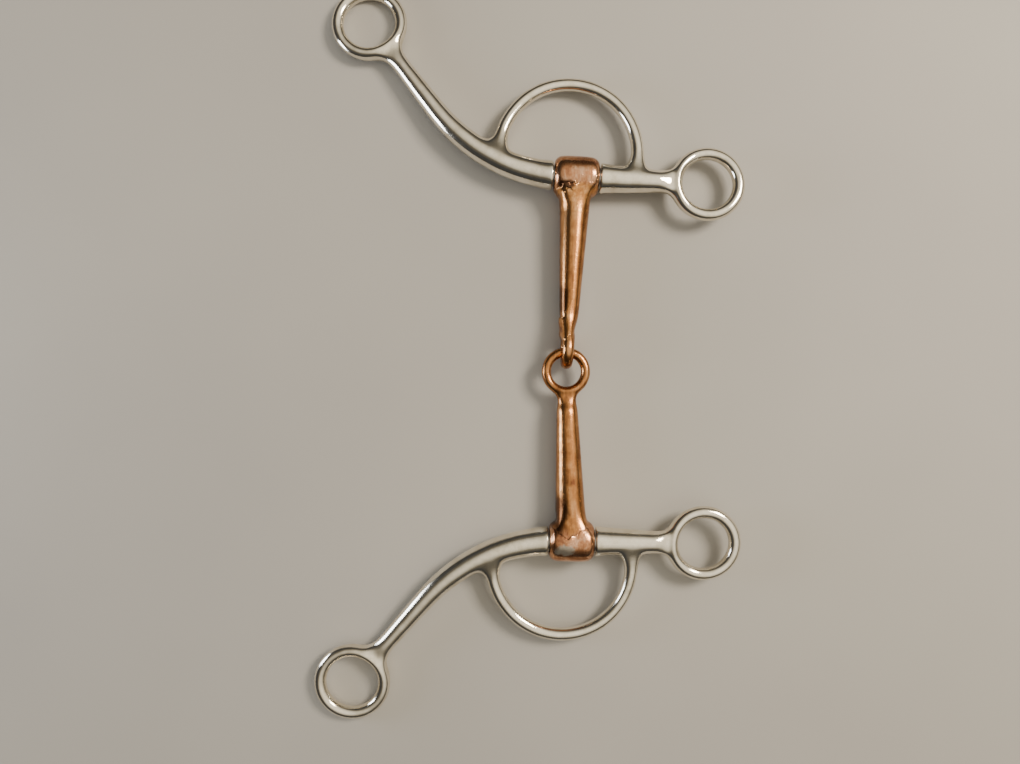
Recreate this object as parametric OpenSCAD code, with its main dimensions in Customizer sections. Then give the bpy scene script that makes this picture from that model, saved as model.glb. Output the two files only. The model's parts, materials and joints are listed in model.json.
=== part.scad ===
// Loose-cheek snaffle bit: two steel cheeks that turn on the barrels of a single-jointed copper mouthpiece.
// It lies flat on a table. +X runs along the spindles to the headstall rings, +Y to the left cheek, +Z up.
// Each cheek is drawn in its own frame: the spindle along x, the dee side at +y, and the spindle's
// middle at the origin. Sizes are millimetres.

/* [Mouthpiece] */
// Middle of the centre joint to the axis of the left spindle
left_reach = 74; // [62:1:92]
// Middle of the centre joint to the axis of the right spindle
right_reach = 64; // [53:1:80]
// Outside diameter of the barrels
barrel_d = 15.4; // [12.8:0.1:19]
// Length of the barrels along the spindle
barrel_len = 16.8; // [14:0.1:21]
// Rounding of the barrels' ends
barrel_round = 2.4; // [0.5:0.1:3]
// Diameter of the cannons where they meet the barrels
cannon_root_d = 11.4; // [9.5:0.1:12.6]
// Diameter of the left cannon where its eye begins
left_tip_d = 7.4; // [6.1:0.1:9]
// Diameter of the right cannon where its eye begins
right_tip_d = 8.4; // [7:0.1:10]
// How far the brazed seam stands out round the root of a cannon
seam_w = 1.1; // [0.5:0.1:1.4]
// How far the brazed seam climbs the cannon
seam_h = 4; // [2:0.1:6]

/* [Centre joint] */
// Hole of the flat eye, on the right half
flat_eye_bore = 11.2; // [10.6:0.1:14]
// Wire of the flat eye
flat_eye_wire = 3.6; // [3:0.1:4.4]
// Length of the flat eye's neck, from the outside of its ring to the cannon
flat_eye_neck = 6; // [5:0.1:8]
// Thickness of the web in the corners of the flat eye's neck
flat_eye_web = 2.6; // [2.1:0.1:2.9]
// Hole of the upright eye, on the left half
upright_eye_bore = 6.6; // [5.6:0.1:8]
// Wire of the upright eye
upright_eye_wire = 4.2; // [3.5:0.1:4.3]
// Length of the upright eye's neck, from the outside of its ring to the cannon
upright_eye_neck = 6.4; // [5.3:0.1:8]
// Width of the flat eye's neck where it spreads into its ring
flat_eye_spread = 8.5; // [7:0.1:10]
// Gap left between the two eyes where they pull on each other
eye_gap = 0.6; // [0.3:0.1:0.9]
// Width of the brazed lump that closes the upright eye
lump_d = 6.4; // [5.6:0.1:7.6]
// Length of the brazed lump along the cannon
lump_len = 10; // [8:0.1:12]
// How far the lump runs past the eye's neck onto the cannon
lump_lap = 0.6; // [0:0.1:2]
// How far the lump stands off to the shank side
lump_offset = 0.6; // [0.4:0.1:1.2]

/* [Spindles] */
// Diameter of the spindles that the barrels turn on
spindle_d = 8; // [6.6:0.1:8.4]
// Depth of the socket in each bar that holds the spindle
socket_depth = 6; // [5:0.5:7.5]
// Gap all round the spindle inside the barrel
bore_play = 0.3; // [0.2:0.05:0.4]
// Gap at each end of a barrel
end_play = 0.6; // [0.3:0.1:1]

/* [Cheeks] */
// Diameter of both bars at the barrel
bar_d = 11; // [10.4:0.1:13.2]
// Bevel round the end of each bar at the barrel
shoulder_bevel = 0.6; // [0.3:0.1:1]
// Middle of the barrel to the middle of the headstall ring
purchase_reach = 50; // [46:1:60]
// Diameter of the purchase bar at the headstall ring's neck
purchase_neck_d = 8.2; // [7:0.1:10]
// Middle of the barrel to the start of the shank's bend
bend_start = 5; // [4:0.5:8]
// Radius of the shank's bend
bend_r = 65; // [60:1:78]
// Angle that the shank's bend turns through
bend_angle = 50; // [45:1:54]
// Length of the straight end of the shank, to the middle of the rein ring
shank_straight = 43; // [36:1:52]
// Diameter of the shank at the rein ring's neck
shank_neck_d = 6.4; // [5.6:0.1:7.7]

/* [Rings] */
// Bore of the headstall ring
headstall_bore = 19.5; // [16:0.1:24]
// Wire of the headstall ring
headstall_wire = 4.6; // [3.8:0.1:5.6]
// Bore of the rein ring
rein_bore = 20; // [16.6:0.1:24]
// Wire of the rein ring
rein_wire = 4.7; // [3.9:0.1:5.6]
// Depth of the worn flat land inside each ring
ring_land = 0.15; // [0.1:0.05:0.3]
// Length of each ring's neck, from the outside of the ring to the bar
ring_neck = 2.6; // [2:0.1:4]
// Width of a neck where it spreads into its ring
neck_spread = 13; // [11:0.5:15]
// Thickness of the web in the corners of a neck
neck_web = 3.2; // [2.6:0.1:3.6]

/* [Dee loop] */
// Radius of the dee loop, to the middle of its wire
dee_r = 26; // [21.5:0.5:31.5]
// Height of the dee loop's centre above the spindle axis
dee_rise = 10.3; // [8.5:0.1:12.4]
// Shift of the dee loop's centre to the shank side
dee_shift = 3.3; // [2.6:0.1:4.2]
// Straight leg at the loop's foot on the purchase bar, down to the spindle axis
dee_leg = 7; // [4:0.5:8]
// Wire of the dee loop
dee_wire = 4.8; // [4:0.1:5.8]
// How far each weld stands out round the foot of the dee loop
weld_w = 2.2; // [1:0.1:3]
// How far each weld climbs the dee loop
weld_h = 4.5; // [3:0.1:6]
// Depth of each weld below the bar's surface, before the bar is cut out of it
weld_sink = 2.4; // [1.5:0.1:3]

/* [Lying pose] */
// Turn of the left half as it lies
left_turn = -3; // [-5:0.1:0]
// Turn of the right cheek as it lies
right_turn = -1; // [-2:0.1:1]
// Lean of the right cannon as it lies
right_lean = 1.8; // [0:0.1:3]

/* [Hidden] */

steel = [0.74, 0.74, 0.72];
bright_steel = [0.82, 0.82, 0.80];
copper = [0.72, 0.43, 0.24];
brown_copper = [0.55, 0.34, 0.24];
braze = [0.80, 0.55, 0.34];

fine = 64;                                  // sides of round surfaces
bar_sides = 32;                             // sides of the swept shank

barrel_flat = 0.4;                          // least width of the flat rim left at a barrel's ends
slot_half = barrel_len / 2 + end_play;      // middle of the barrel to the bars' shoulders
flat_eye_r = (flat_eye_bore + flat_eye_wire) / 2;
flat_eye_out = flat_eye_bore / 2 + flat_eye_wire;
upright_eye_r = (upright_eye_bore + upright_eye_wire) / 2;
upright_eye_out = upright_eye_bore / 2 + upright_eye_wire;
// the upright eye pulls against the inside of the flat eye's wire, less the gap
upright_eye_y = flat_eye_bore / 2 - eye_gap + upright_eye_bore / 2;
left_tip_y = upright_eye_y + upright_eye_out + upright_eye_neck;
right_tip_y = flat_eye_out + flat_eye_neck;

headstall_r = (headstall_bore + headstall_wire) / 2 - ring_land;
headstall_out = headstall_r + headstall_wire / 2;
rein_r = (rein_bore + rein_wire) / 2 - ring_land;
rein_out = rein_r + rein_wire / 2;
purchase_end = purchase_reach - headstall_out - ring_neck;

// the bend's end, and the rein ring's middle beyond it
bend_end = [-bend_start - bend_r * sin(bend_angle), bend_r * (1 - cos(bend_angle))];
shank_dir = [-cos(bend_angle), sin(bend_angle)];
rein_at = bend_end + shank_straight * shank_dir;
bend_len = bend_r * bend_angle * PI / 180;
shank_len = bend_len + shank_straight - rein_out - ring_neck;

dee_at = [-dee_shift, dee_rise];
// the arc starts where its tangent, one leg long, reaches the spindle axis
dee_start = atan(dee_leg / dee_r) - asin(dee_rise / norm([dee_r, dee_leg]));
dee_foot = crossing(dee_at, dee_r, [-bend_start, bend_r], bend_r);    // where it meets the shank
dee_end = 360 + atan2(dee_foot.y - dee_at.y, dee_foot.x - dee_at.x);

// lying on the table: the barrels or the upright eye touch it, and so does each rein ring's far side
lie_h = max(barrel_d / 2, upright_eye_out);
tilt = asin((lie_h - rein_wire / 2) / (rein_at.y + rein_r));
left_spindle_at = turned([0, left_reach], left_turn);
right_spindle_at = turned([0, -right_reach], right_lean);
left_rein_at = left_spindle_at + turned([rein_at.x, rein_at.y * cos(tilt)], left_turn);
right_rein_at = right_spindle_at + turned([rein_at.x, -rein_at.y * cos(tilt)], right_turn);
left_headstall_at = left_spindle_at + turned([purchase_reach, 0], left_turn);
right_headstall_at = right_spindle_at + turned([purchase_reach, 0], right_turn);
rein_half_y = rein_r * cos(tilt) + rein_wire / 2;
box_min = [min(left_rein_at.x, right_rein_at.x) - rein_out, right_rein_at.y - rein_half_y];
box_max = [max(left_headstall_at.x, right_headstall_at.x) + headstall_out, left_rein_at.y + rein_half_y];
joint_at = -(box_min + box_max) / 2;                  // puts the origin under the middle of the box

function turned(p, a) = [p.x * cos(a) - p.y * sin(a), p.x * sin(a) + p.y * cos(a)];

// where two circles cross, on the left of the line from the first centre to the second
function crossing(c1, r1, c2, r2) =
    let (gap = c2 - c1,
         d = norm(gap),
         along = (r1 * r1 - r2 * r2 + d * d) / (2 * d),
         off = sqrt(r1 * r1 - along * along))
    c1 + (along * gap + off * [-gap.y, gap.x]) / d;

// the shank's centre line and heading, a distance s from the start of its bend
function shank_heading(s) = bend_angle * min(s / bend_len, 1);
function shank_point(s) = s < bend_len
    ? [-bend_start - bend_r * sin(shank_heading(s)), bend_r * (1 - cos(shank_heading(s)))]
    : bend_end + (s - bend_len) * shank_dir;

// ---- shared shapes ----

module torus(r, wire) {
    rotate_extrude($fn = fine) translate([r, 0]) circle(d = wire, $fn = fine / 2);
}

// a round solid along x from a list of [distance, radius] stations
module turned_bar(stations) {
    rotate([90, 0, 90])
        rotate_extrude($fn = fine)
            polygon(concat([[0, stations[0].x]], [for (s = stations) [s.y, s.x]],
                           [[0, stations[len(stations) - 1].x]]));
}

// ---- placing ----

module in_left_half() {
    translate([joint_at.x, joint_at.y, lie_h]) rotate([0, 0, left_turn]) children();
}

module in_right_half() {
    translate([joint_at.x, joint_at.y, lie_h]) rotate([0, 0, right_lean]) children();
}

module at_right_spindle() {
    translate([joint_at.x + right_spindle_at.x, joint_at.y + right_spindle_at.y, lie_h])
        rotate([0, 0, right_turn]) children();
}

module in_left_cheek() {
    in_left_half() translate([0, left_reach, 0]) rotate([-tilt, 0, 0]) children();
}

module in_right_cheek() {
    at_right_spindle() mirror([0, 1, 0]) rotate([-tilt, 0, 0]) children();
}

// ---- mouthpiece ----

// solid outside shape of a barrel, along x, used to fit the cannon and its seam to it
module barrel_bulk() {
    rotate([0, 90, 0]) cylinder(h = barrel_len, d = barrel_d, center = true, $fn = fine);
}

// a barrel with rounded ends, bored to turn loosely on its spindle
module barrel() {
    bore_r = spindle_d / 2 + bore_play;
    corner_r = min(barrel_round, barrel_d / 2 - bore_r - barrel_flat);
    rim_r = barrel_d / 2 - corner_r;
    half = barrel_len / 2;
    color(brown_copper) rotate([0, 90, 0]) difference() {
        rotate_extrude($fn = fine) {
            translate([0, -half]) square([rim_r, barrel_len]);
            translate([0, corner_r - half]) square([barrel_d / 2, barrel_len - 2 * corner_r]);
            for (s = [-1, 1]) translate([rim_r, s * (half - corner_r)]) circle(r = corner_r, $fn = fine / 2);
        }
        cylinder(h = 2 * barrel_len, r = bore_r, center = true, $fn = fine);
    }
}

// a tapered cannon along x, from its eye end to the axis of its barrel
module cannon_bulk(tip_at, tip_d, reach) {
    turned_bar([[tip_at, tip_d / 2], [reach, cannon_root_d / 2]]);
}

// the collar of braze round the root of a cannon, before the barrel and cannon are cut out of it
module seam_bulk(reach) {
    collar_r = min(cannon_root_d / 2 + seam_w, barrel_d / 2 - barrel_flat);
    low = sqrt(pow(barrel_d / 2, 2) - pow(collar_r, 2)) - barrel_flat;    // under the barrel's skin
    turned_bar([[reach - barrel_d / 2 - seam_h, cannon_root_d / 2 - seam_w],
                [reach - barrel_d / 2, collar_r], [reach - low, collar_r]]);
}

module left_cannon() {
    color(copper) in_left_half() difference() {
        rotate([0, 0, 90]) cannon_bulk(left_tip_y, left_tip_d, left_reach);
        translate([0, left_reach, 0]) barrel_bulk();
    }
}

module left_barrel() {
    in_left_half() translate([0, left_reach, 0]) barrel();
}

module left_barrel_braze() {
    color(braze) in_left_half() difference() {
        rotate([0, 0, 90]) seam_bulk(left_reach);
        rotate([0, 0, 90]) cannon_bulk(left_tip_y, left_tip_d, left_reach);
        translate([0, left_reach, 0]) barrel_bulk();
    }
}

module right_cannon() {
    color(copper) difference() {
        in_right_half() rotate([0, 0, -90]) cannon_bulk(right_tip_y, right_tip_d, right_reach);
        at_right_spindle() barrel_bulk();
    }
}

module right_barrel() {
    at_right_spindle() barrel();
}

module right_barrel_braze() {
    color(braze) difference() {
        in_right_half() rotate([0, 0, -90]) seam_bulk(right_reach);
        in_right_half() rotate([0, 0, -90]) cannon_bulk(right_tip_y, right_tip_d, right_reach);
        at_right_spindle() barrel_bulk();
    }
}

// ---- centre joint ----

// flat eye: a ring in the plane of the mouthpiece, with a spreading neck
module right_flat_eye() {
    color(copper) in_right_half() rotate([0, 0, -90]) difference() {
        union() {
            torus(flat_eye_r, flat_eye_wire);
            turned_bar([[flat_eye_r, flat_eye_wire / 2], [right_tip_y, right_tip_d / 2]]);
            neck_corners(flat_eye_r, right_tip_y, flat_eye_spread, right_tip_d, flat_eye_web);
        }
        cylinder(h = 2 * right_tip_d, d = flat_eye_bore, center = true, $fn = fine);
    }
}

// upright eye: a ring on edge that hooks through the flat eye
module upright_eye_bulk() {
    translate([upright_eye_y, 0, 0]) rotate([90, 0, 0]) torus(upright_eye_r, upright_eye_wire);
    turned_bar([[upright_eye_y + upright_eye_r, upright_eye_wire / 2], [left_tip_y, left_tip_d / 2]]);
}

module left_upright_eye() {
    color(copper) in_left_half() rotate([0, 0, 90]) upright_eye_bulk();
}

// the lump of braze that closes the upright eye onto the cannon, on its shank side
module left_eye_braze() {
    lump_from = left_tip_y + lump_lap - lump_len + lump_d / 2;
    color(braze) in_left_half() rotate([0, 0, 90]) difference() {
        translate([lump_from, lump_offset, 0]) {
            rotate([0, 90, 0]) cylinder(h = lump_len - lump_d, d = lump_d, $fn = fine);
            for (x = [0, lump_len - lump_d]) translate([x, 0, 0]) sphere(d = lump_d, $fn = fine);
        }
        upright_eye_bulk();
        cannon_bulk(left_tip_y, left_tip_d, left_reach);
    }
}

// ---- cheek members, each in the cheek's frame ----

// flat web that fills the corners between a ring and its neck, in the ring's plane
module neck_corners(from, to, spread, end_w, web) {
    linear_extrude(height = web, center = true)
        polygon([[from, spread / 2], [to, end_w / 2], [to, -end_w / 2], [from, -spread / 2]]);
}

// a rein or headstall ring round the origin, with its neck along +x
module ring_with_neck(r, wire, bore, neck_d) {
    neck_end = r + wire / 2 + ring_neck;
    difference() {
        union() {
            torus(r, wire);
            turned_bar([[r, wire / 2], [neck_end, neck_d / 2]]);
            neck_corners(r, neck_end, neck_spread, neck_d, neck_web);
        }
        cylinder(h = 2 * neck_d, d = bore, center = true, $fn = fine);
    }
}

module spindle() {
    color(steel) rotate([0, 90, 0])
        cylinder(h = 2 * (slot_half + socket_depth), d = spindle_d, center = true, $fn = fine);
}

module purchase_bulk() {
    turned_bar([[slot_half, bar_d / 2 - shoulder_bevel], [slot_half + shoulder_bevel, bar_d / 2],
                [purchase_end, purchase_neck_d / 2]]);
}

module purchase_bar() {
    color(steel) difference() {
        purchase_bulk();
        spindle();
    }
}

// the bent, tapering shank, swept along its centre line and cut off square beside the barrel
module shank_bulk() {
    steps = 28;
    stations = [for (i = [0:steps]) i * shank_len / steps];
    points = [
        for (s = stations, j = [0:bar_sides - 1])
            let (p = shank_point(s), h = shank_heading(s),
                 r = bar_d / 2 + (shank_neck_d - bar_d) / 2 * s / shank_len,
                 a = 360 * j / bar_sides)
            [p.x + r * cos(a) * sin(h), p.y + r * cos(a) * cos(h), r * sin(a)]
    ];
    skin = [
        for (i = [0:steps - 1], j = [0:bar_sides - 1])
            let (k = (j + 1) % bar_sides, row = i * bar_sides, next = row + bar_sides)
            [row + j, row + k, next + k, next + j]
    ];
    near_end = [for (j = [bar_sides - 1:-1:0]) j];
    far_end = [for (j = [0:bar_sides - 1]) steps * bar_sides + j];
    bevel_r = bar_d / 2 + shoulder_bevel;
    difference() {
        polyhedron(points, concat(skin, [near_end, far_end]));
        translate([-slot_half, -bar_d, -bar_d]) cube([2 * slot_half, 2 * bar_d, 2 * bar_d]);
        difference() {
            translate([-slot_half - shoulder_bevel, -bar_d, -bar_d])
                cube([2 * shoulder_bevel, 2 * bar_d, 2 * bar_d]);
            turned_bar([[-slot_half - 2 * shoulder_bevel, bevel_r],
                        [-slot_half, bevel_r - 2 * shoulder_bevel]]);
        }
    }
}

module shank() {
    color(steel) difference() {
        shank_bulk();
        spindle();
    }
}

module headstall_ring() {
    color(bright_steel) translate([purchase_reach, 0, 0]) rotate([0, 0, 180])
        ring_with_neck(headstall_r, headstall_wire, headstall_bore, purchase_neck_d);
}

module rein_ring() {
    color(bright_steel) translate(rein_at) rotate([0, 0, -bend_angle])
        ring_with_neck(rein_r, rein_wire, rein_bore, shank_neck_d);
}

module dee_wire_bulk() {
    translate(dee_at) rotate([0, 0, dee_start]) {
        rotate_extrude(angle = dee_end - dee_start, $fn = fine)
            translate([dee_r, 0]) circle(d = dee_wire, $fn = fine / 2);
        translate([dee_r, 0, 0]) rotate([90, 0, 0]) cylinder(h = dee_leg, d = dee_wire, $fn = fine / 2);
    }
}

module dee_loop() {
    color(bright_steel) difference() {
        dee_wire_bulk();
        purchase_bulk();
        shank_bulk();
    }
}

// a weld round a foot of the dee's wire, which climbs along z from the bar's surface
module weld_bulk() {
    grow = weld_w * (weld_h + weld_sink) / weld_h;
    translate([0, 0, -weld_sink])
        cylinder(h = weld_h + weld_sink, d1 = dee_wire + 2 * grow, d2 = dee_wire, $fn = fine);
}

module purchase_weld() {
    color(steel) difference() {
        translate(dee_at) rotate([0, 0, dee_start])
            translate([dee_r, bar_d / 2 - dee_leg, 0]) rotate([-90, 0, 0]) weld_bulk();
        dee_wire_bulk();
        purchase_bulk();
    }
}

module shank_weld() {
    surface_at = dee_end - bar_d / 2 / dee_r * 180 / PI;    // angle at which the dee meets the shank's skin
    color(steel) difference() {
        translate(dee_at) rotate([0, 0, surface_at])
            translate([dee_r, 0, 0]) rotate([90, 0, 0]) weld_bulk();
        dee_wire_bulk();
        shank_bulk();
    }
}

right_cannon();
right_barrel();
right_flat_eye();
right_barrel_braze();
left_cannon();
left_barrel();
left_upright_eye();
left_barrel_braze();
left_eye_braze();
in_left_cheek() spindle();  // left_spindle
in_left_cheek() purchase_bar();  // left_purchase_bar
in_left_cheek() headstall_ring();  // left_headstall_ring
in_left_cheek() shank();  // left_shank
in_left_cheek() rein_ring();  // left_rein_ring
in_left_cheek() dee_loop();  // left_dee_loop
in_left_cheek() purchase_weld();  // left_purchase_weld
in_left_cheek() shank_weld();  // left_shank_weld
in_right_cheek() spindle();  // right_spindle
in_right_cheek() purchase_bar();  // right_purchase_bar
in_right_cheek() headstall_ring();  // right_headstall_ring
in_right_cheek() shank();  // right_shank
in_right_cheek() rein_ring();  // right_rein_ring
in_right_cheek() dee_loop();  // right_dee_loop
in_right_cheek() purchase_weld();  // right_purchase_weld
in_right_cheek() shank_weld();  // right_shank_weld
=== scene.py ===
import json
import math

import bmesh
import bpy
from mathutils import Matrix, Vector, noise


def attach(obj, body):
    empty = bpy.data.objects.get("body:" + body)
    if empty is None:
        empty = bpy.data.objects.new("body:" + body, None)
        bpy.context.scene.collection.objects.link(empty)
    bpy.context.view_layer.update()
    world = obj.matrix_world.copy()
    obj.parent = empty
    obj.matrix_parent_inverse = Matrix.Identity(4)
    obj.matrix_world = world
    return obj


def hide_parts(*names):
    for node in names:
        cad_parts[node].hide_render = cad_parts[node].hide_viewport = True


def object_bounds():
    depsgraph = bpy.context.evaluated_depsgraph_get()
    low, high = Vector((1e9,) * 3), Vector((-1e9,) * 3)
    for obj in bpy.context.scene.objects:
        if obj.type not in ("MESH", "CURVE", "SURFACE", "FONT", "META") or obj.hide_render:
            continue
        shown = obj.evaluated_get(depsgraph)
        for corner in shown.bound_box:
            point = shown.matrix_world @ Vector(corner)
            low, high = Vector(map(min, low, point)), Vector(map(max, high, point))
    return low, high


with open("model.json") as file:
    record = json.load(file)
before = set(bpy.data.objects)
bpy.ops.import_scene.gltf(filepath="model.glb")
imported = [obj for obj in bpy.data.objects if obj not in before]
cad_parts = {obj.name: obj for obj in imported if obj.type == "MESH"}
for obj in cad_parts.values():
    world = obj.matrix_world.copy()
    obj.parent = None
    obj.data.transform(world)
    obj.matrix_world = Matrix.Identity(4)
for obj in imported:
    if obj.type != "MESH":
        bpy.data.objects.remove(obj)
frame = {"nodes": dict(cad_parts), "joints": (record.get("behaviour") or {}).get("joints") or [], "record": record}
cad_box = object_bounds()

# Camera. It stands about 30 cm above the middle of the bit and looks straight down on it,
# through a slightly wide lens.
camera = bpy.data.objects.new("camera", bpy.data.cameras.new("camera"))
bpy.context.scene.collection.objects.link(camera)
camera.location = (-0.0088, -0.0145, 0.3001)
camera.rotation_mode = "ZYX"
camera.rotation_euler = [math.radians(a) for a in (0.535, -0.31, 0.067)]
camera.data.sensor_width = 36
camera.data.lens = 27.25
camera.data.clip_start = 0.01
bpy.context.scene.camera = camera

# Cheek steel. Stainless bar, forged and welded, then polished on a mop: bright, with the faint
# long waves of hand polishing, hairline scratches and a duller bloom where straps have rubbed.


def linear(code):
    """An sRGB hex colour as the linear colour that a shader takes."""
    parts = [int(code[i:i + 2], 16) / 255 for i in (0, 2, 4)]
    return [c / 12.92 if c <= 0.04045 else ((c + 0.055) / 1.055) ** 2.4 for c in parts] + [1]


def add(material, kind, settings=(), links=()):
    """Adds one node: settings are (input or property, value), links are (input, other node, output)."""
    node = material.node_tree.nodes.new(kind)
    for name, value in settings:
        if isinstance(name, int) or name in node.inputs:
            node.inputs[name].default_value = value
        else:
            setattr(node, name, value)
    for name, other, output in links:
        material.node_tree.links.new(other.outputs[output], node.inputs[name])
    return node


def new_material(name):
    """A new material with an empty node tree."""
    material = bpy.data.materials.new(name)
    material.use_nodes = True
    material.node_tree.nodes.clear()
    return material


def grade(material, source, output, stops):
    """A colour ramp on one output; stops are (position, colour)."""
    ramp = add(material, "ShaderNodeValToRGB", links=[("Fac", source, output)])
    points = ramp.color_ramp.elements
    while len(points) < len(stops):
        points.new(0.5)
    for point, (place, colour) in zip(points, stops):
        point.position, point.color = place, colour
    return ramp


PER_METRE = 1000              # mm in a metre: a scale of PER_METRE / 9 repeats about every 9 mm

m = polished_steel = new_material("polished_stainless_steel")
where = add(m, "ShaderNodeTexCoord")
waves = add(m, "ShaderNodeTexNoise", [("Scale", PER_METRE / 9), ("Detail", 2), ("Roughness", 0.4)],
            [("Vector", where, "Object")])
bloom = add(m, "ShaderNodeTexNoise", [("Scale", PER_METRE / 5), ("Detail", 5), ("Roughness", 0.62)],
            [("Vector", where, "Object")])
grit = add(m, "ShaderNodeTexNoise", [("Scale", PER_METRE / 0.35), ("Detail", 3)],
           [("Vector", where, "Object")])
# hairline scratches run across and along: two stretched grains laid over each other
hairs = []
for across, along, angle in ((0.25, 9, 0.7), (8, 0.22, -0.35)):
    stretched = add(m, "ShaderNodeMapping",
                    [("Scale", (PER_METRE / across, PER_METRE / along, PER_METRE / 2)),
                     ("Rotation", (0, 0, angle))],
                    [("Vector", where, "Object")])
    hairs.append(add(m, "ShaderNodeTexNoise", [("Scale", 1), ("Detail", 2)],
                     [("Vector", stretched, "Vector")]))
hair = add(m, "ShaderNodeMath", [("operation", "ADD")], [(0, hairs[0], "Fac"), (1, hairs[1], "Fac")])
rough_mix = add(m, "ShaderNodeMath", [("operation", "MULTIPLY_ADD"), (1, 0.5)],
                [(0, hair, "Value"), (2, bloom, "Fac")])
roughness = add(m, "ShaderNodeMapRange", [("From Min", 0.75), ("From Max", 1.35), ("To Min", 0.06),
                                          ("To Max", 0.19)], [("Value", rough_mix, "Value")])
tint = grade(m, bloom, "Fac", [(0.35, linear("F1EADB")), (0.55, linear("E6DECC")), (0.75, linear("CEC5B1"))])
long_bump = add(m, "ShaderNodeBump", [("Strength", 0.25), ("Distance", 0.0006)], [("Height", waves, "Fac")])
fine_bump = add(m, "ShaderNodeBump", [("Strength", 0.06), ("Distance", 0.00006)],
                [("Height", hair, "Value"), ("Normal", long_bump, "Normal")])
grit_bump = add(m, "ShaderNodeBump", [("Strength", 0.05), ("Distance", 0.00003)],
                [("Height", grit, "Fac"), ("Normal", fine_bump, "Normal")])
shader = add(m, "ShaderNodeBsdfPrincipled", [("Metallic", 1)],
             [("Base Color", tint, "Color"), ("Roughness", roughness, "Result"),
              ("Normal", grit_bump, "Normal")])
add(m, "ShaderNodeOutputMaterial", links=[("Surface", shader, "BSDF")])

# Cheeks. Each one is worked from round bar: a bent, tapering shank, a short purchase bar, two
# rings with spreading necks and a half-round dee, all run together and dressed to smooth fillets.
# It is shaped as one skin, and then parted where its members meet.

MM = 0.001
SIDES = 8                     # sides of a section before it is smoothed
SMOOTHING = 3                 # times that a cheek's skin is smoothed; a mouth half's is smoothed once more


def fullness(sides):
    """How much larger a polygon is made, so that smoothing brings it to its true radius."""
    return 6 / (4 + 2 * math.cos(2 * math.pi / sides))


def section(bm, centre, along, up, radius, squash=1):
    """One round section as a ring of corners, square to along, with its first corner on the up side."""
    z = Vector(along).normalized()
    x = Vector(up).normalized()
    turn = Matrix((x, z.cross(x), z)).transposed().to_4x4()
    place = Matrix.Translation(centre) @ turn @ Matrix.Diagonal((1, squash, 1, 1))
    return bmesh.ops.create_circle(bm, segments=SIDES, radius=radius * fullness(SIDES), matrix=place)["verts"]


def join(bm, rings, closed=False):
    """Skins over a row of sections."""
    for near, far in zip(rings, rings[1:] + rings[:closed]):
        for i in range(SIDES):
            bm.faces.new((near[i - 1], near[i], far[i], far[i - 1]))


def branch(bm, rim, ring):
    """Joins a branch's last section to the rim of an opening, each corner to the one it lies nearest."""
    loop, edges = [rim[0].verts[0]], set(rim)
    while len(loop) < len(rim):
        edge = next(e for e in loop[-1].link_edges if e in edges and e.other_vert(loop[-1]) not in loop)
        loop.append(edge.other_vert(loop[-1]))
    turns = [way[i:] + way[:i] for way in (loop, loop[::-1]) for i in range(SIDES)]
    join(bm, [min(turns, key=lambda turn: sum((a.co - b.co).length for a, b in zip(turn, ring))), ring])


def open_side(bm, point):
    """Opens a hole two faces wide in a skin, round the corner nearest to a point, for a branch to join."""
    corner = min((v for v in bm.verts if v.link_faces), key=lambda v: (v.co - Vector(point)).length)
    rim = {e for f in corner.link_faces for e in f.edges if corner not in e.verts}
    bmesh.ops.delete(bm, geom=[corner], context="VERTS")
    return list(rim)


def ring_skin(bm, centre, radius, wire, neck_way, axis, count, swell):
    """A wire ring, thickened along its axis toward the neck by a share of the wire, and opened there."""
    grow = fullness(count)
    rings = []
    for i in range(count):
        out = Matrix.Rotation(2 * math.pi * i / count, 3, axis) @ Vector(neck_way).normalized()
        thick = 1 + swell * max(math.cos(2 * math.pi * i / count), 0) ** 4
        middle = Vector(centre) + out * radius * grow
        rings.append(section(bm, middle, Vector(axis).cross(out), out, wire / 2, thick))
    join(bm, rings, closed=True)
    return open_side(bm, Vector(centre) + Vector(neck_way).normalized() * (radius * grow + wire))


def smoothed(bm, name, levels):
    """The finished skin of a cage, smoothed by subdivision a number of times."""
    mesh = bpy.data.meshes.new(name)
    bmesh.ops.recalc_face_normals(bm, faces=bm.faces)
    bm.to_mesh(mesh)
    bm.free()
    cage = bpy.data.objects.new(name, mesh)
    bpy.context.scene.collection.objects.link(cage)
    cage.modifiers.new("smooth", "SUBSURF").levels = levels
    bpy.context.view_layer.update()
    skin = bmesh.new()
    skin.from_object(cage, bpy.context.evaluated_depsgraph_get())
    bpy.data.objects.remove(cage)
    bpy.data.meshes.remove(mesh)
    return skin


def keep_normals(bm):
    """Stores each corner's true normal before the skin is cut."""
    bm.normal_update()
    layer = bm.verts.layers.float_vector.new("true_normal")
    for v in bm.verts:
        v[layer] = v.normal


def part_skin(bm, at, way, reach):
    """Parts a member from its neighbour at a plane, splitting the skin along the cut."""
    near = [f for f in bm.faces if (f.calc_center_median() - Vector(at)).length < reach]
    geom = near + list({e for f in near for e in f.edges}) + list({v for f in near for v in f.verts})
    cut = bmesh.ops.bisect_plane(bm, geom=geom, plane_co=at, plane_no=way)["geom_cut"]
    bmesh.ops.split_edges(bm, edges=[e for e in cut if isinstance(e, bmesh.types.BMEdge)])


def close_ends(bm):
    """Caps every open end with one flat face."""
    bmesh.ops.holes_fill(bm, edges=[e for e in bm.edges if e.is_boundary], sides=0)


def island(bm, start):
    """Every face joined to the one nearest to a point."""
    first = min(bm.faces, key=lambda f: (f.calc_center_median() - Vector(start)).length)
    found, waiting = {first}, [first]
    while waiting:
        for e in waiting.pop().edges:
            for f in e.link_faces:
                if f not in found:
                    found.add(f)
                    waiting.append(f)
    return found


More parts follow.
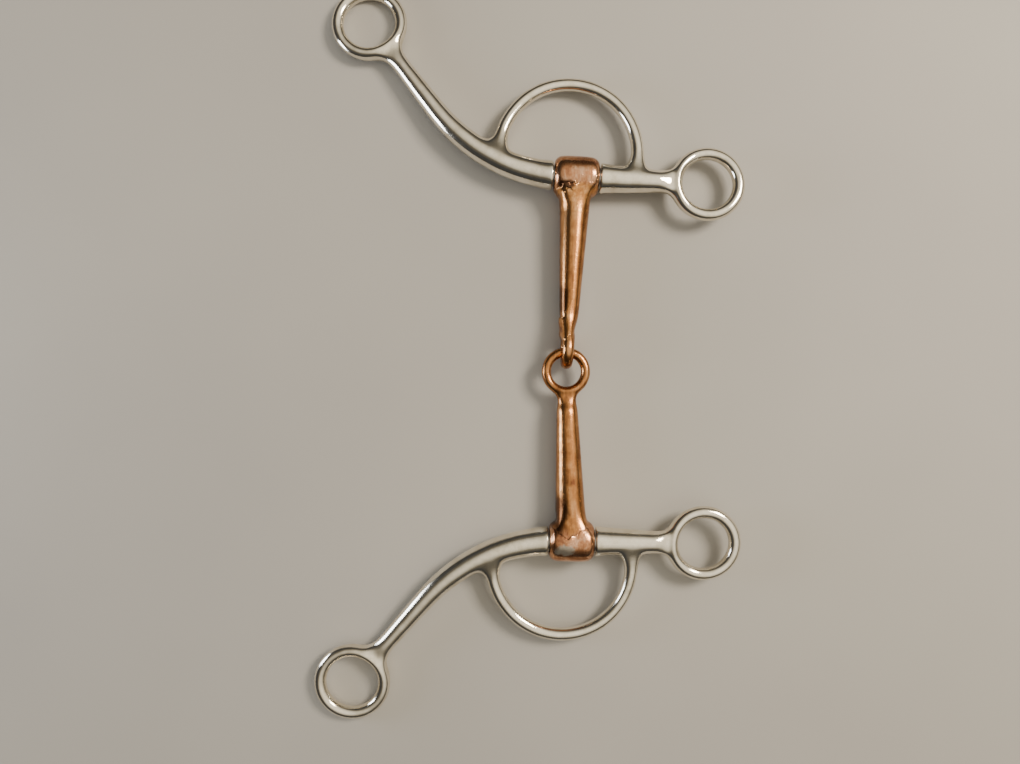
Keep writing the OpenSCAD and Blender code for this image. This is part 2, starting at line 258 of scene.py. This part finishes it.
def finish_piece(bm, name, body, nodes, material, place):
    """Places a finished shape in the frame as a named piece on its body."""
    layer = bm.verts.layers.float_vector.get("true_normal")
    mirrored = place.determinant() < 0
    turn = place.to_3x3().inverted().transposed()
    bm.faces.ensure_lookup_table()
    normals = []
    if layer:
        for f in bm.faces:
            corners = [l.vert for l in (reversed(f.loops) if mirrored else f.loops)]
            flat = len(f.verts) > 4
            normals += [(turn @ (f.normal if flat else v[layer])).normalized() for v in corners]
    bmesh.ops.transform(bm, matrix=place, verts=bm.verts)
    if mirrored:
        bmesh.ops.reverse_faces(bm, faces=bm.faces)
    for f in bm.faces:
        f.smooth = True
    mesh = bpy.data.meshes.new(name)
    bm.to_mesh(mesh)
    bm.free()
    mesh.materials.append(material)
    if layer:
        mesh.normals_split_custom_set(normals)
    piece = bpy.data.objects.new(name, mesh)
    bpy.context.scene.collection.objects.link(piece)
    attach(piece, body)
    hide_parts(*nodes)


joints = {j["name"]: j for j in frame["joints"]}
mounts = {m["name"]: m for m in frame["record"]["mounts"]}

SLOT_HALF = 9.0               # middle of the barrel to the bars' shoulders
BAR_D = 11.0
PURCHASE_REACH = 50.0
PURCHASE_NECK_D = 8.2
BEND_START, BEND_R, BEND_ANGLE = 5.0, 65.0, math.radians(50)
SHANK_STRAIGHT, SHANK_NECK_D = 43.0, 6.4
RING_NECK = 2.6
# a bar's end at the barrel: how far back each section is, and its share of the bar's radius
SHOULDER = ((0, 0.55), (0, 0.93), (0.05, 1.0), (0.7, 1.03))
SHANK_FOOT = 27.0             # start of the bend to the dee's foot
HEADSTALL_R, HEADSTALL_WIRE = 11.9, 4.6
REIN_R, REIN_WIRE = 12.2, 4.7
DEE_R, DEE_AT, DEE_WIRE = 26.0, Vector((-3.3, 10.3, 0)), 4.8
BEND_LEN = BEND_R * BEND_ANGLE
SHANK_LEN = BEND_LEN + SHANK_STRAIGHT - REIN_R - REIN_WIRE / 2 - RING_NECK
SHANK_WAY = Vector((-math.cos(BEND_ANGLE), math.sin(BEND_ANGLE), 0))
Z = Vector((0, 0, 1))


def shank_at(s):
    """Centre and heading of the shank, a distance s from the start of its bend."""
    a = min(s / BEND_LEN, 1) * BEND_ANGLE
    way = Vector((-math.cos(a), math.sin(a), 0))
    centre = Vector((-BEND_START - BEND_R * math.sin(a), BEND_R * (1 - math.cos(a)), 0))
    return centre + way * max(s - BEND_LEN, 0), way


def dee_point(degrees):
    """Centre, heading and outward way of the dee's wire at an angle round it."""
    a = math.radians(degrees)
    out = Vector((math.cos(a), math.sin(a), 0))
    return DEE_AT + out * DEE_R, Vector((-out.y, out.x, 0)), out


def cheek_skin():
    """One cheek as a single skin, with a point on each of its members."""
    bm = bmesh.new()
    rein_at = shank_at(BEND_LEN + SHANK_STRAIGHT)[0]
    headstall_at = Vector((PURCHASE_REACH, 0, 0))

    # shank: a flat, bevelled shoulder, then the bend and the straight
    rings = []
    for x, r in SHOULDER:
        rings.append(section(bm, (-SLOT_HALF - x, 0.15, 0), (-1, 0, 0), (0, 1, 0), BAR_D / 2 * r))
    bm.faces.new(rings[0])
    for s in (8.5, 15, 19.5, SHANK_FOOT - 3.4, SHANK_FOOT, SHANK_FOOT + 5.5,
              38, 45, 52, 59, 67, 75, SHANK_LEN - 1):
        centre, way = shank_at(s)
        radius = (BAR_D + (SHANK_NECK_D - BAR_D) * s / SHANK_LEN) / 2
        rings.append(section(bm, centre, way, Z.cross(way) * -1, radius))
    join(bm, rings)
    shank_end = rings[-1]
    centre, way = shank_at(SHANK_FOOT)
    shank_foot = open_side(bm, centre + Vector((way.y, -way.x, 0)) * BAR_D)

    # purchase bar
    rings = []
    for x, r in SHOULDER:
        rings.append(section(bm, (SLOT_HALF + x, 0, 0), (1, 0, 0), (0, 1, 0), BAR_D / 2 * r))
    bm.faces.new(rings[0])
    purchase_end = PURCHASE_REACH - HEADSTALL_R - HEADSTALL_WIRE / 2 - RING_NECK
    purchase_foot_x = DEE_AT.x + DEE_R - 0.6
    for x in (12, 15.5, purchase_foot_x - 3.3, purchase_foot_x, purchase_foot_x + 4, 29.5, purchase_end - 1):
        share = (x - SLOT_HALF) / (purchase_end - SLOT_HALF)
        radius = (BAR_D + (PURCHASE_NECK_D - BAR_D) * share) / 2
        rings.append(section(bm, (x, 0, 0), (1, 0, 0), (0, 1, 0), radius))
    join(bm, rings)
    purchase_tip = rings[-1]
    purchase_foot = open_side(bm, (purchase_foot_x, BAR_D, 0))

    # dee wire, from its purchase foot round to its shank foot
    rings = []
    for degrees in (-2, 8, 24, 42, 60, 78, 96, 114, 132, 150, 163, 171):
        centre, way, out = dee_point(degrees)
        rings.append(section(bm, centre + out * DEE_R * 0.014, way, out, DEE_WIRE / 2))
    join(bm, rings)
    branch(bm, purchase_foot, rings[0])
    branch(bm, shank_foot, rings[-1])

    # rings and their necks
    branch(bm, ring_skin(bm, rein_at, REIN_R, REIN_WIRE, -SHANK_WAY, Z, 20, 0.45), shank_end)
    headstall_side = ring_skin(bm, headstall_at, HEADSTALL_R, HEADSTALL_WIRE, (-1, 0, 0), Z, 20, 0.55)
    branch(bm, headstall_side, purchase_tip)

    bm = smoothed(bm, "cheek_cage", SMOOTHING)
    keep_normals(bm)
    neck_at, way = shank_at(SHANK_LEN)
    part_skin(bm, neck_at, way, 9)
    part_skin(bm, (purchase_end, 0, 0), (1, 0, 0), 9)
    for degrees in (8, 163):
        centre, way, out = dee_point(degrees)
        part_skin(bm, centre, way, 5)
    close_ends(bm)
    starts = {
        "shank": shank_at(60)[0], "rein_ring": rein_at - Vector((REIN_R, 0, 0)),
        "purchase_bar": (15, -5, 0), "headstall_ring": headstall_at + Vector((HEADSTALL_R, 0, 0)),
        "dee_loop": dee_point(90)[0],
    }
    return bm, starts


skin, starts = cheek_skin()
members = {name: {f.index for f in island(skin, start)} for name, start in starts.items()}
stands_for = {
    "shank": ["shank", "shank_weld"], "rein_ring": ["rein_ring"],
    "purchase_bar": ["purchase_bar", "purchase_weld"], "headstall_ring": ["headstall_ring"],
    "dee_loop": ["dee_loop"],
}
for side, hand in (("left", 1), ("right", -1)):
    pivot = joints[side + "_cheek_pivot"]
    x = Vector(pivot["axis"]).normalized()
    z = Vector(mounts[side + "_rein_ring"]["axis"]).normalized()
    out = z.cross(x) * hand
    place = Matrix((x, out, z)).transposed().to_4x4()
    place = Matrix.Translation(pivot["pos_m"]) @ place @ Matrix.Scale(MM, 4)
    for name, faces in members.items():
        piece = skin.copy()
        piece.faces.ensure_lookup_table()
        bmesh.ops.delete(piece, geom=[f for f in piece.faces if f.index not in faces], context="FACES")
        nodes = [f"{side}_{node}" for node in stands_for[name]]
        finish_piece(piece, f"{side}_{name}_steel", side + "_cheek", nodes,
                     polished_steel, place)
skin.free()

# Spindles. Plain round steel pins, turned in a lathe, that join the two bars of a cheek through
# its barrel. The barrels turn on them, so their middles are greased and dull.
m = turned_steel = new_material("turned_steel_pin")
where = add(m, "ShaderNodeTexCoord")
lathe = add(m, "ShaderNodeMapping", [("Scale", (PER_METRE / 0.15, PER_METRE / 30, PER_METRE / 30))],
            [("Vector", where, "Object")])
rings = add(m, "ShaderNodeTexNoise", [("Scale", 1), ("Detail", 3)], [("Vector", lathe, "Vector")])
tint = grade(m, rings, "Fac", [(0.3, linear("8C8A86")), (0.7, linear("A9A7A2"))])
rough = add(m, "ShaderNodeMapRange", [("To Min", 0.28), ("To Max", 0.45)], [("Value", rings, "Fac")])
bump = add(m, "ShaderNodeBump", [("Strength", 0.2), ("Distance", 0.00003)], [("Height", rings, "Fac")])
shader = add(m, "ShaderNodeBsdfPrincipled", [("Metallic", 1)],
             [("Base Color", tint, "Color"), ("Roughness", rough, "Result"), ("Normal", bump, "Normal")])
add(m, "ShaderNodeOutputMaterial", links=[("Surface", shader, "BSDF")])
for name in ("left_spindle", "right_spindle"):
    pin = frame["nodes"][name].data.materials
    pin.clear()
    pin.append(turned_steel)

# Copper. The cannons are bright golden copper with brown streaks along them, the barrels a duller
# pinkish brown where the horse has mouthed them, and the braze is brighter and yellower than both.
coppers = {}
for name, shine, pull, pitting, tones in (
    ("copper_browned_by_the_mouth", (0.13, 0.32), 12, 0.35, ("6E452D", "AC7646", "CC9868")),
    ("bright_ragged_braze", (0.12, 0.30), 1.5, 0.5, ("84502C", "BE8650", "DDA976")),
):
    m = coppers[name] = new_material(name)
    where = add(m, "ShaderNodeTexCoord")
    drawn = add(m, "ShaderNodeMapping", [("Scale", (PER_METRE, PER_METRE / pull, PER_METRE))],
                [("Vector", where, "Object")])
    streaks = add(m, "ShaderNodeTexNoise",
                  [("Scale", 0.9), ("Detail", 6), ("Roughness", 0.6), ("Distortion", 0.3)],
                  [("Vector", drawn, "Vector")])
    patina = add(m, "ShaderNodeTexNoise", [("Scale", PER_METRE / 6), ("Detail", 5), ("Roughness", 0.65)],
                 [("Vector", where, "Object")])
    pits = add(m, "ShaderNodeTexVoronoi", [("Scale", PER_METRE / 1.6)], [("Vector", where, "Object")])
    pit_depth = add(m, "ShaderNodeMapRange",
                    [("From Min", 0.0), ("From Max", 0.22), ("To Min", -1), ("To Max", 0)],
                    [("Value", pits, "Distance")])
    few = add(m, "ShaderNodeMapRange", [("From Min", 0.5), ("From Max", 0.62), ("To Max", pitting)],
              [("Value", patina, "Fac")])
    pit_height = add(m, "ShaderNodeMath", [("operation", "MULTIPLY")],
                     [(0, pit_depth, "Result"), (1, few, "Result")])
    both = add(m, "ShaderNodeMath", [("operation", "MULTIPLY_ADD"), (1, 0.6)],
               [(0, streaks, "Fac"), (2, patina, "Fac")])
    dark = add(m, "ShaderNodeMath", [("operation", "MULTIPLY_ADD"), (1, 0.35)],
               [(0, pit_height, "Value"), (2, both, "Value")])
    golden = grade(m, dark, "Value", [(place, linear(tone)) for place, tone in zip((0.55, 0.8, 1.0), tones)])
    browned = grade(m, dark, "Value",
                    [(0.55, linear("754835")), (0.8, linear("B6815C")), (1.0, linear("D4AA8A"))])
    # the rubbed grey is real wear, and where it is stretched over the right barrel's top it is also a painted
    # highlight
    scuffed_grey_and_highlight = grade(m, patina, "Fac", [(0.4, linear("9C9284")), (0.6, linear("C6BBAA"))])
    # how brown the skin is, where it is rubbed through with a painted highlight in the rub, and the painted shade
    # beside the braze were marked on the castings
    brown = add(m, "ShaderNodeAttribute", [("attribute_name", "brown")])
    rubbed_and_highlight = add(m, "ShaderNodeAttribute", [("attribute_name", "rubbed_and_highlight")])
    skin_tone = add(m, "ShaderNodeMix", [("data_type", "RGBA")],
                    [(0, brown, "Fac"), (6, golden, "Color"), (7, browned, "Color")])
    painted_shade_by_braze = add(m, "ShaderNodeAttribute", [("attribute_name", "painted_shade_by_braze")])
    rubbed_and_highlight_tone = add(m, "ShaderNodeMix", [("data_type", "RGBA")],
                      [(0, rubbed_and_highlight, "Fac"), (6, skin_tone, 2), (7, scuffed_grey_and_highlight, "Color")])
    # painted shade: mixes in dark brown 43291A beside the braze lips and down the shank side of the left cannon,
    # where shade falls
    tint = add(m, "ShaderNodeMix", [("data_type", "RGBA"), (7, linear("43291A"))],
               [(0, painted_shade_by_braze, "Fac"), (6, rubbed_and_highlight_tone, 2)])
    rough = add(m, "ShaderNodeMapRange",
                [("From Min", 1.05), ("From Max", 0.55), ("To Min", shine[0]), ("To Max", shine[1])],
                [("Value", both, "Value")])
    duller = add(m, "ShaderNodeMath", [("operation", "MULTIPLY_ADD"), (1, 0.2)],
                 [(0, rubbed_and_highlight, "Fac"), (2, rough, "Result")])
    relief = add(m, "ShaderNodeBump", [("Strength", 0.35), ("Distance", 0.00025)],
                 [("Height", both, "Value")])
    pitted = add(m, "ShaderNodeBump", [("Strength", 0.7), ("Distance", 0.0003)],
                 [("Height", pit_height, "Value"), ("Normal", relief, "Normal")])
    shader = add(m, "ShaderNodeBsdfPrincipled", [("Metallic", 1)],
                 [("Base Color", tint, 2), ("Roughness", duller, "Value"), ("Normal", pitted, "Normal")])
    add(m, "ShaderNodeOutputMaterial", links=[("Surface", shader, "BSDF")])

# Mouthpiece. Each half is cast with its eye and its barrel: the barrel is a rounded boss bored for
# the spindle, and the cannon flares out of it, tapers to the middle and narrows into the eye. The
# braze lies over the casting in thin ragged skins.

BARREL_R, BARREL_HALF, BARREL_BORE = 7.7, 8.4, 4.3
CANNON_ROOT = 5.7
FLAT_EYE_R, FLAT_EYE_WIRE = 7.4, 3.6
UPRIGHT_EYE_R, UPRIGHT_EYE_WIRE, UPRIGHT_EYE_Y = 5.4, 4.3, 8.3
EYES = {
    # the cannon's end, its radius, the neck's sections as (distance from the joint, radius, height to width),
    # and the ring with its centre, radius, wire, axis, number of sections and swelling at the neck
    "left": (22.2, 3.7, ((20.2, 3.4, 1.15), (17.9, 2.95, 1.5)),
             ((0, UPRIGHT_EYE_Y, 0), UPRIGHT_EYE_R, UPRIGHT_EYE_WIRE, Vector((1, 0, 0)), 8, 0.35)),
    "right": (15.2, 4.05, ((13.5, 3.8, 0.92), (11.7, 3.4, 0.8)),
              ((0, 0, 0), FLAT_EYE_R, FLAT_EYE_WIRE, Z, 16, 0.5)),
}


def smoothstep(low, high, value):
    """Rises smoothly from 0 to 1 as a value goes from low to high."""
    share = min(max((value - low) / (high - low), 0), 1)
    return share * share * (3 - 2 * share)


def ragged(co, size, seed):
    """Uneven steps of a torn edge, of a size in mm."""
    return noise.fractal(co / size + Vector((seed, seed, seed)), 0.8, 2.1, 5)


def left_seam_height(co, centre):
    """The cannon's golden skin laps onto the barrel, with a torn and pitted lip on the shank side."""
    off = co - centre
    from_rim = (math.hypot(off.y, off.z) - 6.7) / 0.7
    lip = 0.50 - 0.46 * smoothstep(-1.5, 2, co.x)
    edge = 3.6 + 0.25 * max(-co.x - 1, 0) + 1.6 * ragged(co, 3.4, 3)
    fade = 1 - 1.03 * smoothstep(4.5, 15, -off.y + 1.5 * noise.noise(co / 4))
    pit = 0.9 * smoothstep(0.2, 0.34, ragged(co, 2.2, 9)) * (1 - smoothstep(5, 7.5, -off.y))
    return lip * (min((-off.y - edge) / 0.5, fade, from_rim, (off.z + 5.5) / 2) - pit)


def right_seam_height(co, centre):
    """A flap of the barrel's skin laps up the cannon's root, and ends in a sharp torn edge."""
    off = co - centre
    from_rim = (math.hypot(off.y, off.z) - 6.7) / 0.7
    lip = 0.45 - 0.35 * smoothstep(-1, 1.5, co.x)
    edge = 2.4 + 0.75 * max(-co.x - 2, 0) + 0.4 * max(co.x + 2, 0) + 1.0 * ragged(co, 2.6, 5)
    fade = 1.03 * smoothstep(-4.5, 3, -off.y + 1.5 * noise.noise(co / 4)) - 0.03
    return lip * min((edge + off.y) / 0.4, fade, from_rim, (off.z + 5.5) / 2)


def eye_braze_height(co, centre):
    """A lump on the shank side closes the eye onto the cannon, and thins to a skin over the top."""
    torn = 0.9 * ragged(co, 1.8, 7)
    end = 20.6 + 2.4 * max(co.x + 2.2, 0) + torn
    length = 1 - ((co.y - 15.8) / 4.8) ** 2
    side = -co.x / max(math.hypot(co.x, co.z), 0.1)
    lump = 0.95 * math.sqrt(max(length, 0)) * max(side, 0) if co.z > -3 else 0
    skin_over = 0.16 * smoothstep(12.5, 15, co.y) - 0.12 * smoothstep(0, -2.5, co.z)
    skin_over *= 1 - smoothstep(-1.2, 1.4, co.x)
    return min(max(lump, skin_over), (end - co.y) * 0.9, (co.y - 11.5) * 0.3) - 0.03


def mark_wear_and_painted_light(bm, side, centre):
    """Marks where a casting is browned, where it is rubbed grey with a painted highlight laid into the rub, and
    the painted shade beside the braze lips and down the eye lump's shank side.
    """
    brown = bm.verts.layers.float.new("brown")
    rubbed_and_highlight = bm.verts.layers.float.new("rubbed_and_highlight")
    painted_shade_by_braze = bm.verts.layers.float.new("painted_shade_by_braze")
    for v in bm.verts:
        q = v.co - centre
        rough = ragged(v.co, 3, 11)
        reach = 4.6 if side == "left" else 3.4 + 0.5 * abs(v.co.x)
        v[brown] = 1 - smoothstep(-1, 1.2, -q.y - reach + 2 * rough)
        # on the right barrel's top a rubbed grey patch, placed and stretched over where a highlight falls: real
        # wear and painted highlight together
        if side == "right" and q.z > 0:
            off = math.hypot((q.x + 2.7) / 4.4, (q.y - 2.2) / 2.1)
            v[rubbed_and_highlight] = 1 - smoothstep(0.75, 1.1, off + 0.5 * rough)
        # painted shade: dark beside the right flap's lip on the cannon side, and beside the left lip and down the
        # left eye lump's shank side
        if side == "right":
            off = math.hypot((q.x + 5.2) / 4.4, (q.y + 11.5) / 7.5)
        else:
            by_lip = math.hypot((q.x + 3.6) / 3.4, (q.y + 4.4) / 1.7)
            by_lump = math.hypot((q.x + 3.2) / 2.6, (v.co.y - 26.5) / 6.5)
            off = min(by_lip, by_lump)
        v[painted_shade_by_braze] = 0.85 - 0.85 * smoothstep(0.6, 1.2, off + 0.3 * rough)


def build_up(skin, height, centre):
    """A thin closed skin of braze over part of a casting, as thick at each place as height says."""
    bm = skin.copy()
    bm.normal_update()
    bare = [f for f in bm.faces if all(height(v.co, centre) < 0 for v in f.verts)]
    bmesh.ops.delete(bm, geom=bare, context="FACES")
    # where two patches meet at one corner, the corner goes, so that the skin closes
    pinched = [v for v in bm.verts if sum(e.is_boundary for e in v.link_edges) > 2]
    bmesh.ops.delete(bm, geom=pinched, context="VERTS")
    bmesh.ops.subdivide_edges(bm, edges=bm.edges, cuts=1, use_grid_fill=True)
    bm.normal_update()
    under = bm.verts[:]
    way = {v: v.normal.copy() for v in under}
    over = bmesh.ops.extrude_face_region(bm, geom=bm.faces[:], use_keep_orig=True)["geom"]
    for v in [g for g in over if isinstance(g, bmesh.types.BMVert)]:
        v.co += v.normal * max(height(v.co, centre), -0.12)
    for v in under:
        v.co -= way[v] * 0.35
    bmesh.ops.recalc_face_normals(bm, faces=bm.faces)
    bm.verts.layers.float_vector.remove(bm.verts.layers.float_vector["true_normal"])
    return bm


def half_skin(side, centre, axis):
    """One cast half: barrel, cannon and eye in one skin, along y from the joint to the barrel."""
    tip, tip_r, neck, (eye_at, eye_r, wire, eye_axis, count, swell) = EYES[side]
    bm = bmesh.new()
    down = axis.cross(Z)
    rings = [section(bm, centre + axis * x, axis, down, r) for x, r in (
        (-BARREL_HALF, BARREL_BORE), (-BARREL_HALF, 4.9), (-BARREL_HALF, 5.7), (-7.4, 6.95),
        (-5.6, BARREL_R + 0.05), (0, BARREL_R), (5.6, BARREL_R + 0.05), (7.4, 6.95),
        (BARREL_HALF, 5.7), (BARREL_HALF, 4.9), (BARREL_HALF, BARREL_BORE), (0, BARREL_BORE))]
    join(bm, rings, closed=True)
    barrel_side = open_side(bm, centre + down * 2 * BARREL_R)
    root = centre.y - BARREL_R - 3.6
    stations = [(root, CANNON_ROOT, 1), (root - 4, CANNON_ROOT - 0.25, 1)]
    steps = 5
    for i in range(1, steps + 1):
        y = root - 4 + (tip - root + 4) * i / steps
        stations.append((y, CANNON_ROOT - 0.25 + (tip_r - CANNON_ROOT + 0.25) * i / steps, 1))
    cannon = [section(bm, (0, y, 0), (0, -1, 0), (1, 0, 0), r, tall) for y, r, tall in stations + list(neck)]
    join(bm, cannon)
    branch(bm, barrel_side, cannon[0])
    branch(bm, ring_skin(bm, eye_at, eye_r, wire, (0, 1, 0), eye_axis, count, swell), cannon[-1])
    return smoothed(bm, side + "_mouth_cage", SMOOTHING + 1)


fold = joints["mouth_fold"]
left_at = Vector(joints["left_cheek_pivot"]["pos_m"])
joint_centre = Vector(fold["pos_m"]) - (left_at - Vector(fold["pos_m"])).normalized() * FLAT_EYE_R * MM
for side, hand, eye_node, seam_height in (
    ("left", 1, "left_upright_eye", left_seam_height), ("right", -1, "right_flat_eye", right_seam_height),
):
    pivot = joints[side + "_cheek_pivot"]
    y = (Vector(pivot["pos_m"]) - joint_centre).normalized()
    place = Matrix((y.cross(Z) * hand, y, Z)).transposed().to_4x4()
    place = Matrix.Translation(joint_centre) @ place @ Matrix.Scale(MM, 4)
    back = place.inverted()
    centre = back @ Vector(pivot["pos_m"])
    axis = (back.to_3x3() @ Vector(pivot["axis"])).normalized()
    skin = half_skin(side, centre, axis)
    keep_normals(skin)
    mark_wear_and_painted_light(skin, side, centre)
    body = side + "_mouth"
    braze = coppers["bright_ragged_braze"]
    finish_piece(build_up(skin, seam_height, centre), side + "_barrel_seam", body, [side + "_barrel_braze"],
                 braze, place)
    if side == "left":
        finish_piece(build_up(skin, eye_braze_height, centre), "left_eye_lump", body, ["left_eye_braze"],
                     braze, place)
    tip = EYES[side][0]
    part_skin(skin, (0, centre.y - BARREL_R - 0.7, 0), (0, 1, 0), 9)
    part_skin(skin, (0, tip, 0), (0, 1, 0), 6)
    close_ends(skin)
    for name, node, start, slot in (
        ("barrel", side + "_barrel", centre + Vector((0, BARREL_R, 0)), "worn_copper"),
        ("cannon", side + "_cannon", (0, centre.y / 2, 4), "copper"), ("eye", eye_node, (0, 0, 0), "copper"),
    ):
        faces = {f.index for f in island(skin, start)}
        piece = skin.copy()
        piece.faces.ensure_lookup_table()
        bmesh.ops.delete(piece, geom=[f for f in piece.faces if f.index not in faces], context="FACES")
        finish_piece(piece, f"{side}_{name}_copper", body, [node],
                     coppers["copper_browned_by_the_mouth"], place)
    skin.free()

# Floor and lights. A plain pale matt table top under a bright ceiling, with a warm soft box on one
# side and a long cool one low on the other.
FLOOR_HALF = 4.0              # in metres, as the lights are
FLOOR_GAP = 0.0001
m = floor_material = new_material("pale_matt_table")
where = add(m, "ShaderNodeTexCoord")
mottle = add(m, "ShaderNodeTexNoise", [("Scale", 6), ("Detail", 3)], [("Vector", where, "Object")])
tone = grade(m, mottle, "Fac", [(0.3, linear("A09D97")), (0.7, linear("A8A59E"))])
shader = add(m, "ShaderNodeBsdfPrincipled", [("Roughness", 0.7)], [("Base Color", tone, "Color")])
add(m, "ShaderNodeOutputMaterial", links=[("Surface", shader, "BSDF")])
bm = bmesh.new()
bmesh.ops.create_grid(bm, x_segments=1, y_segments=1, size=FLOOR_HALF)
mesh = bpy.data.meshes.new("floor")
bm.to_mesh(mesh)
bm.free()
mesh.materials.append(floor_material)
floor = bpy.data.objects.new("floor", mesh)
bpy.context.scene.collection.objects.link(floor)
floor.location.z = cad_box[0].z - FLOOR_GAP

world = bpy.data.worlds.new("studio")
bpy.context.scene.world = world
world.use_nodes = True
world.node_tree.nodes.clear()
# a bright ceiling that darkens toward the walls, most of all on the shank side, so that polished round
# bars show bright tops and dark sides
where = add(world, "ShaderNodeTexCoord")
up = add(world, "ShaderNodeVectorMath", [("operation", "DOT_PRODUCT"), (1, (0.37, 0.06, 0.93))],
         [(0, where, "Generated")])
dome = grade(world, up, "Value", [(0.25, (0.04, 0.04, 0.04, 1)), (0.55, linear("5E594F")),
                                  (0.74, linear("C8C0B0")), (0.95, linear("FFF5E2"))])
sky = add(world, "ShaderNodeBackground", [("Strength", 1.45)], [("Color", dome, "Color")])
add(world, "ShaderNodeOutputWorld", links=[("Surface", sky, "Background")])
for name, place, aim, size, watts, colour in (
    ("key_box", (0.48, 0.24, 0.56), (0, 0, 0), (0.22, 0.22), 7, "FFF1DE"),
    ("strip_box", (-0.50, 0.0, 0.10), (0, 0, 0.60), (0.20, 0.60), 5.5, "E9F1FF"),
):
    light = bpy.data.lights.new(name, "AREA")
    light.shape = "RECTANGLE"
    light.size, light.size_y = size
    light.energy = watts
    light.color = linear(colour)[:3]
    box = bpy.data.objects.new(name, light)
    bpy.context.scene.collection.objects.link(box)
    box.location = place
    box.visible_camera = False
    box.rotation_euler = (Vector(aim) - Vector(place)).to_track_quat("-Z", "Y").to_euler()
